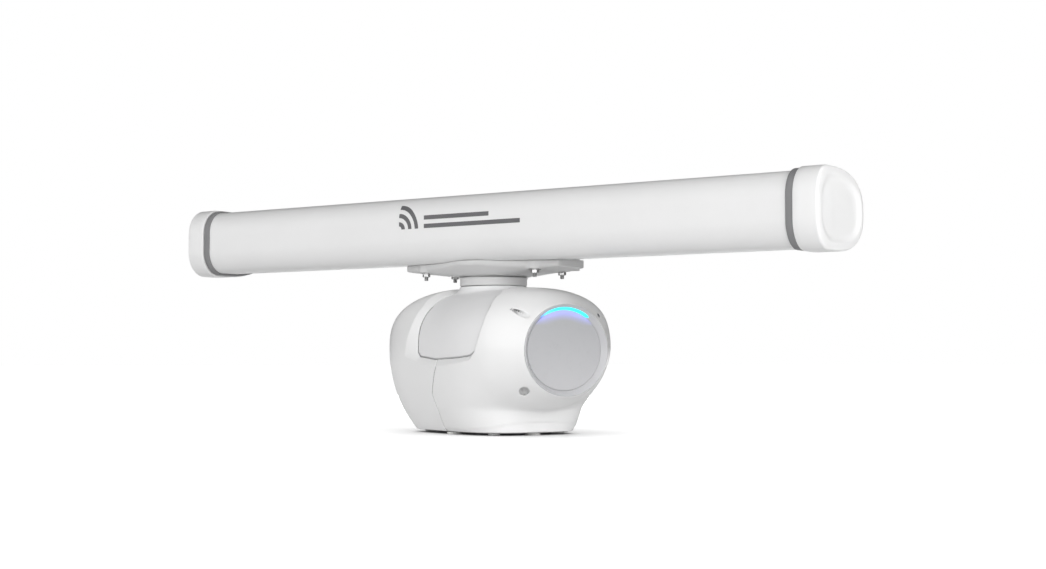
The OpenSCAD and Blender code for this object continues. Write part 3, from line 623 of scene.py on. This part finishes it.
studs, nuts, washers = Shape(), Shape(), Shape()
for x, y in STUDS:
    top = 342.0 if y > 0 else 329.0
    profile = [(2.9, 288.0), (3.6, 288.7)]
    for z in np.arange(289.0, 303.0, THREAD):
        profile += [(3.92, z), (3.35, z + 0.62)]
    profile += [(3.95, 304.5), (3.95, top - 0.6), (3.4, top)]
    studs.lathe(profile, x, y, 32, caps=(True, True))
    hex_prism(nuts, x, y, 294.7, 301.2, 13.0, 4.35)
    washers.lathe([(4.3, 301.3), (7.9, 301.3), (8.4, 301.6), (8.4, 302.6), (7.9, 302.9), (4.3, 302.9)],
                  x, y, 48, loop=True)
add_piece("stud_set", studs.moved(TO_BAR).v, studs.f, "antenna", ["bracket_studs"], "bolt_steel", sharp=20.0)
add_piece("nut_set", nuts.moved(TO_BAR).v, nuts.f, "antenna", ["bracket_nuts"], "bolt_steel", sharp=20.0)
add_piece("washer_set", washers.moved(TO_BAR).v, washers.f, "antenna", ["bracket_washers"], "bolt_steel")

hub = Shape()
hub.lathe([(30.3, 275.1), (60.5, 275.0), (62.4, 275.5), (63.3, 276.6), (63.5, 278.0), (63.5, 287.0),
           (64.3, 289.3), (66.0, 290.7), (66.0, 290.9), (12.0, 290.9), (12.0, 283.0), (30.3, 283.0)],
          steps=128, loop=True)
add_piece("neck_turned", hub.v, hub.f, "antenna", ["neck_hub"], "casting_white")


# ----------------------------------------------------------------- pedestal body

def profile_width(z):
    """Half the body's width at a height: narrower towards the foot."""
    return np.where(z > BELT_Z, HALF_W, HALF_W - TUCK_SIDE * (np.maximum(BELT_Z - z, 0) / 150) ** 2)


def profile_reach(y, z):
    """How far the body reaches forward or back at a height."""
    low = np.maximum(BELT_Z - z, 0)
    front = np.where(z > BELT_Z, NOSE_Y, smax(163.0 + 0 * low, NOSE_Y - TUCK_NOSE * (low / 110) ** 1.6, 7.0))
    back = np.where(z > BELT_Z, TAIL_Y, TAIL_Y - TUCK_TAIL * (low / 150) ** 3)
    return np.where(y < 0, front, back)


def body_field(X, Y, Z, h):
    """The pedestal's body, a rounded block with a domed crown, before the nose is added."""
    n = np.where(Y < 0, PLAN_FRONT, PLAN_BACK).astype(np.float32)
    across, along = np.abs(X) / profile_width(Z), np.abs(Y) / profile_reach(Y, Z)
    r = (across ** n + along ** n) ** (1 / n)
    up = np.maximum(Z - BELT_Z, 0) / (CROWN_Z - BELT_Z)
    full = along ** 2 / np.maximum(across ** 2 + along ** 2, 1e-6)
    m = np.where(Y < 0, CROWN_POWER + 0.9 * full, CROWN_POWER + 0.3 * full)
    return as_distance((r ** m + up ** m) ** (1 / m) - 1, h)


def oval_field(X, Z, a, b):
    """About the distance to an upright oval round the disc's centre."""
    return (np.sqrt((X / a) ** 2 + ((Z - DISC_Z) / b) ** 2) - 1) * np.minimum(a, b)


def nose_field(X, Y, Z):
    """The nose behind the disc, which widens backwards from its rim."""
    back = np.maximum(Y - RIM_Y, -6)
    tall = RIM_B + np.where(Z > DISC_Z, 0.26, 0.47) * back
    cone = oval_field(X, Z, RIM_A + 0.6 * back, tall) * 0.9
    return smax(smax(cone, RIM_Y - Y, 5.0), Y + 165, 40.0)


# outlines seen from the side, as (y, z)
SADDLE = [(60, 292), (36, 262), (19, 235), (20.5, 206), (22, 173), (22, 150), (14, 142.5), (-41, 137),
          (-113, 140), (-146, 143.5), (-163, 152), (-171, 174), (-177, 202), (-175, 227), (-160, 251),
          (-134, 264), (-112, 292)]
BORDER = [(72, 292), (50, 262), (34, 236), (38, 206), (51, 172), (59, 142), (20, 134), (-52, 124),
          (-110, 128.5), (-152, 136), (-166.5, 150.5), (-174, 174), (-180, 202), (-178, 228.5),
          (-162.5, 253.5), (-136, 267), (-116, 292)]
SEAM_FRONT = [(-260, 0), (-21.3, 0), (-21.3, 12), (-24.4, 42), (-21.4, 74), (-52.4, 123.4), (-50.4, 137.0),
              (-113, 139.3), (-146, 142.8), (-163.4, 151.6), (-171.4, 174), (-177.4, 202), (-175.4, 227.2),
              (-160.4, 251.4), (-134.4, 264.4), (-112.5, 292), (-260, 292)]
SEAM_REAR = [(-20.6, 0), (200, 0), (200, 292), (60.6, 292), (36.6, 262), (19.8, 235), (21.2, 206),
             (22.7, 173), (22.7, 150), (14, 141.8), (-41, 136.2), (-49.8, 136.9), (-51.7, 124.0),
             (-20.7, 74.4), (-23.7, 42), (-20.6, 12)]


def sunk(Y, Z):
    """How deep the casings' surface is sunk beside the saddle: full at its edge, none at the border."""
    d_in = np.maximum(region(SADDLE, Y, Z), 0)
    d_out = np.maximum(-region(BORDER, Y, Z), 0)
    return STEP * np.where(d_out > 0, d_out / np.maximum(d_in + d_out, 1e-3), 0)


def casing_field(X, Y, Z, h, with_nose):
    """The casings' outer surface, with the nose for the front one."""
    body = body_field(X, Y, Z, h)
    if with_nose:
        body = smax(smin(body, nose_field(X, Y, Z), 20.0), Z - CROWN_Z + 1.5, 6.0)
    return body


def skirt_height(X, Y):
    """Height of the crease round the front casing's foot: level at the sides, rising under the nose."""
    return 12.0 + 14 * np.clip((-Y - 60) / 100, 0, 1) ** 2 * (1 - np.clip(np.abs(X) / 150, 0, 1) ** 2)


def capsule(X, Y, Z, a, b, ra, rb):
    """Distance to a round bar from a to b whose radius changes from ra to rb."""
    d = [q - p for p, q in zip(a, b)]
    t = np.clip(((X - a[0]) * d[0] + (Y - a[1]) * d[1] + (Z - a[2]) * d[2]) / sum(c * c for c in d), 0, 1)
    gap = np.sqrt((X - a[0] - t * d[0]) ** 2 + (Y - a[1] - t * d[1]) ** 2 + (Z - a[2] - t * d[2]) ** 2)
    return gap - ra - (rb - ra) * t


def cut_at_seam(shell, seam, Y, Z):
    """A casing ended at its seam and at its foot."""
    return smax(smax(shell, region(seam, Y, Z), 1.6), FOOT_Z - Z, 1.2)


def clear_neck(shell, X, Y):
    """A casing opened round the neck."""
    return smax(shell, NECK_R + NECK_GAP - np.sqrt(X ** 2 + Y ** 2), 2.0)


# front casing
axes = grid((-163, -248, 2), (163, -18, 276), H_CASING)
X, Y, Z = axes
outer = casing_field(X, Y, Z, H_CASING, True) + 1.6 * np.clip((skirt_height(X, Y) - Z) / 4, 0, 1)
skin = outer + sunk(Y, Z)
shell = smax(skin, -(outer + STEP + WALL), 1.5)
shell = np.where(sunk(Y, Z) > 0, shell, smax(outer, -(outer + WALL), 1.5))
shell = cut_at_seam(shell, SEAM_FRONT, Y, Z)
upper_x = np.where(X > 0, np.abs(X) - RIGHT_OUT, np.abs(X))
upper_y = np.where(X > 0, Y - RIGHT_BACK, Y)
cups = smin(capsule(upper_x, upper_y, Z, (92, -199, 221), (76, -230, 211), 8.8, 6.5),
            capsule(np.abs(X), Y, Z, (60, -195, 85), (72, -219, 80), 10.5, 10.5), 0.5)
holes = smin(capsule(upper_x, upper_y, Z, (92, -200, 222), (77, -234, 214), 6.6, 5.0),
             capsule(np.abs(X), Y, Z, (64, -203, 83), (77, -229, 78), 8.6, 8.6), 0.5)
shell = smax(smin(shell, smax(cups, outer + 1.0, 1.0), 1.0), -holes, 1.5)
shell = clear_neck(shell, X, Y)
inward = 1.02 * np.clip(Y - RIM_Y, 0, 8.5)
funnel = oval_field(X, Z, RIM_A - 0.8 - inward, RIM_B - 0.8 - inward)
shell = smax(shell, -smax(funnel, Y + 180, 0.5), 1.2)
v, f, n = surface(shell, axes, H_CASING)
add_piece("front_casing_shell", v, f, "pedestal", ["front_casing"], "casing_white", n)

# rear casing
axes = grid((-163, -60, 2), (163, 186, 276), H_CASING)
X, Y, Z = axes
outer = casing_field(X, Y, Z, H_CASING, False)
skin = outer + sunk(Y, Z)
shell = smax(skin, -(outer + np.where(sunk(Y, Z) > 0, STEP + WALL, WALL)), 1.0)
shell = clear_neck(cut_at_seam(shell, SEAM_REAR, Y, Z), X, Y)
door = smax(smax(np.abs(X) - 62, Z - 42, 6.0), 100 - Y, 1.0)
shell = smax(shell, -door, 2.0)
v, f, n = surface(shell, axes, H_CASING)
add_piece("rear_casing_shell", v, f, "pedestal", ["rear_casing"], "casing_white", n)

# saddle between them, with the collar round the neck
axes = grid((-163, -200, 118), (163, 92, 276), H_SADDLE)
X, Y, Z = axes
rim = region(SADDLE, Y, Z)
body = body_field(X, Y, Z, H_SADDLE) + STEP + 0.4 + 2.6 * np.exp(-(np.minimum(rim, 0) / 1.8) ** 2)
around = np.sqrt(X ** 2 + Y ** 2)
collar = smax(around - NECK_R, np.abs(Z - COLLAR_Z) - (CROWN_Z - COLLAR_Z), 2.0)
solid = smin(body, collar, 16.0)
shell = smin(smax(solid, -(body + SADDLE_WALL), 1.2), smax(collar, 250 - Z, 1.0), 0.5)
shell = smax(shell, np.minimum(rim - SADDLE_LAP, around - NECK_R - 4), 1.0)
shell = smax(shell, SADDLE_BORE - around, 1.5)
v, f, n = surface(shell, axes, H_SADDLE)
add_piece("saddle_shell", v, f, "pedestal", ["saddle_frame"], "saddle_white", n)


# ----------------------------------------------------------- disc, bezel and light

def oval_ring(a, b, y, n=128):
    """An upright oval round the disc's centre."""
    t = 2 * np.pi * np.arange(n) / n
    return [(a * math.cos(s), y, DISC_Z + b * math.sin(s)) for s in t]


bezel = Shape()
bezel.loft([oval_ring(DISC_A + d, DISC_B + d, y) for d, y in
            ((9.5, -245.9), (8.9, -246.0), (8.3, -245.4), (0.4, -237.6), (0.2, -236.5), (1.2, -235.5),
             (2.0, -235.6), (9.0, -242.6), (9.9, -243.8), (10.0, -245.3))], loop=True)
add_piece("bezel_funnel", bezel.v, bezel.f, "pedestal", ["disc_bezel"], "bezel_grey")

disc = Shape()
rings = [oval_ring(DISC_A - 0.2, DISC_B - 0.2, -235.2), oval_ring(DISC_A - 0.2, DISC_B - 0.2, -237.0)]
for s in (0.996, 0.985, 0.96, 0.9, 0.8, 0.65, 0.5, 0.33, 0.16):
    rings.append(oval_ring(DISC_A * s, DISC_B * s, DISC_FACE - DISC_CROWN * (1 - s ** 4)))
disc.loft(rings, cap_start=True, cap_end=True)
add_piece("disc_plate", disc.v, disc.f, "pedestal", ["front_disc"], "disc_grey")

glow = Shape()
arc = np.radians(np.linspace(52, 130, 49))
rings = []
for k, t in enumerate(arc):
    w = GUIDE_HALF * min(1.0, (k + 0.6) / 3, (len(arc) - k) / 9)
    ring = []
    for du, dy in ((-1, -0.6), (-0.9, -1.0), (0.9, -1.0), (1, -0.6),
                   (1, 0.6), (0.9, 1.0), (-0.9, 1.0), (-1, 0.6)):
        ring.append(((DISC_A + GUIDE_OUT + w * du) * math.cos(t), GUIDE_Y + 0.9 * dy - du,
                     DISC_Z + (DISC_B + GUIDE_OUT + w * du) * math.sin(t)))
    rings.append(ring)
glow.loft(rings, cap_start=True, cap_end=True)
add_piece("light_arc_guide", glow.v, glow.f, "pedestal", ["light_guide"], "light_cyan")


# ------------------------------------------------------------------- base and feet

BOLTS = [(i * 70.0, j * 115.0) for i in SIDES for j in SIDES]
axes = grid((-121, -165, 0), (121, 142, 40), H_CASING)
X, Y, Z = axes
body = body_field(X, Y, Z, H_CASING)
pan = smax(smax(body + 7.5, Z - 38, 1.5), 4.2 - Z, 2.0)
pan = smax(pan, -smax(body + 12.5, 14 - Z, 3.0), 1.5)
for x, y in BOLTS:
    ring = np.sqrt((X - x) ** 2 + (Y - y) ** 2)
    pan = smin(pan, smax(ring - 11, np.abs(Z - 11.5) - 11.5, 1.0), 2.0)
    pan = smax(pan, -smax(ring - 5.1, Z - 20, 0.5), 0.6)
for i in SIDES:
    pan = smax(pan, -smax(np.sqrt((X - i * GLAND_X) ** 2 + (Z - GLAND_Z) ** 2) - 8.2, 100 - Y, 0.5), 0.6)
v, f, n = surface(pan, axes, H_CASING)
add_piece("base_pan", v, f, "pedestal", ["base_casting"], "casting_white", n)

pads = Shape()
for x, y in ((-98, -22), (98, -22), (0, -136), (0, 116)):
    pads.lathe([(12.6, 0.0), (13.8, 0.4), (14.0, 1.0), (14.0, 3.0), (13.6, 3.9)], x, y, 48, caps=(True, True))
add_piece("foot_pad_set", pads.v, pads.f, "pedestal", ["foot_pads"], "pad_white")

# a gland's profile as (radius, y, flats): 0 round, 6 hexagonal, 12 ribbed
GLAND = [(7.9, 118.0, 0), (7.9, 119.2, 0), (11.0, 119.2, 6), (11.0, 123.8, 6), (7.9, 123.8, 0),
         (7.9, 131.0, 0), (11.2, 131.0, 6), (12.0, 131.8, 6), (12.0, 136.4, 6), (11.2, 137.2, 6),
         (10.0, 137.2, 12), (10.0, 143.0, 12), (9.4, 144.6, 0), (8.0, 146.0, 0), (4.9, 146.0, 0),
         (4.5, 145.6, 0), (4.5, 118.3, 0)]
glands = Shape()
for i in SIDES:
    n = 96
    rings = []
    for r, y, flats in GLAND:
        ring = []
        for k in range(n):
            t = 2 * math.pi * k / n
            rr = r
            if flats == 6:
                rr = min(r * 0.9 / math.cos(from_flat(t)), r)
            elif flats == 12:
                rr = r * (1 - 0.05 * (0.5 + 0.5 * math.cos(24 * t)))
            ring.append((i * GLAND_X + rr * math.cos(t), y, GLAND_Z + rr * math.sin(t)))
        rings.append(ring)
    glands.loft(rings, loop=True)
add_piece("gland_pair", glands.v, glands.f, "pedestal", ["cable_glands"], "gland_black", sharp=28.0)


def socket_head(shape, x, y, z, r, length):
    """A socket screw along Y with its head's face at y."""
    n = 48
    rings = []
    for rr, yy, flats in ((SCREW_R, y + length, 0), (SCREW_R, y + r * 1.3, 0), (r, y + r * 1.3, 0),
                          (r, y + 0.5, 0), (r - 0.5, y, 0), (r * 0.58, y, 6), (r * 0.52, y + 0.4, 6),
                          (r * 0.52, y + r * 0.7, 6)):
        ring = []
        for k in range(n):
            t = 2 * math.pi * k / n
            q = rr * 0.87 / math.cos(from_flat(t)) if flats else rr
            ring.append((x + q * math.cos(t), yy, z + q * math.sin(t)))
        rings.append(ring)
    shape.loft(rings, cap_start=True, cap_end=True)


screws = Shape()
for x, y, z, r, length in ((-60, -188.0, 84, 5.5, 30), (-86, -178.0, 214, 4.4, 22),
                           (60, -188.0, 84, 5.5, 30), (91, -166.0, 214, 4.4, 22)):
    socket_head(screws, x, y, z, r, length)
add_piece("casing_screw_set", screws.v, screws.f, "pedestal", ["casing_screws"], "bolt_steel", sharp=25.0)


# --------------------------------------------- finishes for the CAD parts that stay

for part in frame["record"]["subparts"]:
    obj = frame["nodes"].get(part["node"])
    if obj is None:
        continue
    mat = MATS[part["material_slot"]]
    if not obj.data.materials:
        obj.data.materials.append(mat)
    for slot in obj.material_slots:
        slot.material = mat


# --------------------------------------------------------- floor, light and camera

floor_mesh = bpy.data.meshes.new("floor")
FLOOR_REACH = 60.0
floor_corners = [(x * FLOOR_REACH, y * FLOOR_REACH, 0) for x, y in ((-1, -1), (1, -1), (1, 1), (-1, 1))]
floor_mesh.from_pydata(floor_corners, [], [(0, 1, 2, 3)])
floor = bpy.data.objects.new("floor", floor_mesh)
bpy.context.scene.collection.objects.link(floor)
floor_mat = bpy.data.materials.new("floor")
floor_mat.use_nodes = True
shader = floor_mat.node_tree.nodes["Principled BSDF"]
shader.inputs["Base Color"].default_value = (0.72, 0.72, 0.72, 1)
shader.inputs["Roughness"].default_value = 1.0
shader.inputs["Specular IOR Level"].default_value = 0.0
shader.inputs["Emission Color"].default_value = (1, 1, 1, 1)
tree = floor_mat.node_tree
# painted light and shadow: the floor glows by emission, fully to the camera and faintly as bounce light onto
# the model, and the glow fades out where ambient occlusion finds the model near, which paints the contact
# shadow
open_sky = node(tree, "ShaderNodeAmbientOcclusion", samples=16)
open_sky.inputs["Distance"].default_value = SHADOW_REACH
seen = node(tree, "ShaderNodeLightPath")
share = remap(tree, seen.outputs["Is Camera Ray"], 0.0, 1.0, 0.17, 0.9)
painted_floor_glow = multiply(tree, remap(tree, open_sky.outputs["AO"], 0.15, 1.0, 0.0, 1.0), share)
tree.links.new(painted_floor_glow, shader.inputs["Emission Strength"])
floor_mesh.materials.append(floor_mat)

BRIGHT_SIDE = (-0.60, -0.57, -0.56)
scene = bpy.context.scene
world = bpy.data.worlds.new("studio")
scene.world = world
world.use_nodes = True
tree = world.node_tree
background = tree.nodes["Background"]
out = tree.nodes["World Output"]
coord = node(tree, "ShaderNodeTexCoord").outputs["Generated"]
facing = node(tree, "ShaderNodeVectorMath", operation="DOT_PRODUCT")
tree.links.new(coord, facing.inputs[0])
facing.inputs[1].default_value = BRIGHT_SIDE
level = remap(tree, facing.outputs["Value"], -0.35, 1.0, 0.03, 2.46)
tree.links.new(level, background.inputs["Color"])
plain = node(tree, "ShaderNodeBackground")
plain.inputs["Color"].default_value = (1, 1, 1, 1)
path = node(tree, "ShaderNodeLightPath")
both = node(tree, "ShaderNodeMixShader")
tree.links.new(path.outputs["Is Camera Ray"], both.inputs[0])
tree.links.new(background.outputs[0], both.inputs[1])
tree.links.new(plain.outputs[0], both.inputs[2])
tree.links.new(both.outputs[0], out.inputs["Surface"])


def area(name, at, target, size, power):
    """A rectangular softbox aimed at a target; sizes in metres and power in watts."""
    light = bpy.data.lights.new(name, "AREA")
    light.shape = "RECTANGLE"
    light.size, light.size_y = size
    light.energy = power
    obj = bpy.data.objects.new(name, light)
    obj.location = at
    obj.rotation_euler = (Vector(target) - Vector(at)).to_track_quat("-Z", "Y").to_euler()
    scene.collection.objects.link(obj)
    return obj


area("softbox_top", (-0.4, -0.6, 2.9), (0, 0, 0.2), (2.6, 2.6), 1.0)
area("softbox_right", (2.0, -2.9, 1.6), (0.1, -0.2, 0.3), (1.2, 1.8), 7)
area("softbox_end", (0.5, -1.6, 0.75), (0.2, -0.5, 0.38), (0.5, 0.5), 4.0)
fill = area("softbox_back", (2.1, 2.7, 0.8), (0, 0, 0.3), (2.0, 1.2), 80)
fill.visible_glossy = False
area("softbox_left", (-3.0, 1.7, 0.9), (0, 0, 0.25), (0.7, 1.8), 2)
area("softbox_low", (-1.0, -2.5, 0.5), (0, -0.1, 0.2), (2.4, 0.7), 10)

scene.view_settings.view_transform = "Standard"
scene.view_settings.look = "None"

camera = bpy.data.objects.new("camera", bpy.data.cameras.new("camera"))
camera.data.lens = 55.07
camera.data.sensor_width = 36
camera.data.clip_end = 200
camera.location = (-1.6061, -2.5759, 0.13105)
camera.rotation_euler = (math.radians(92.8), 0, math.radians(-33))
scene.collection.objects.link(camera)
scene.camera = camera
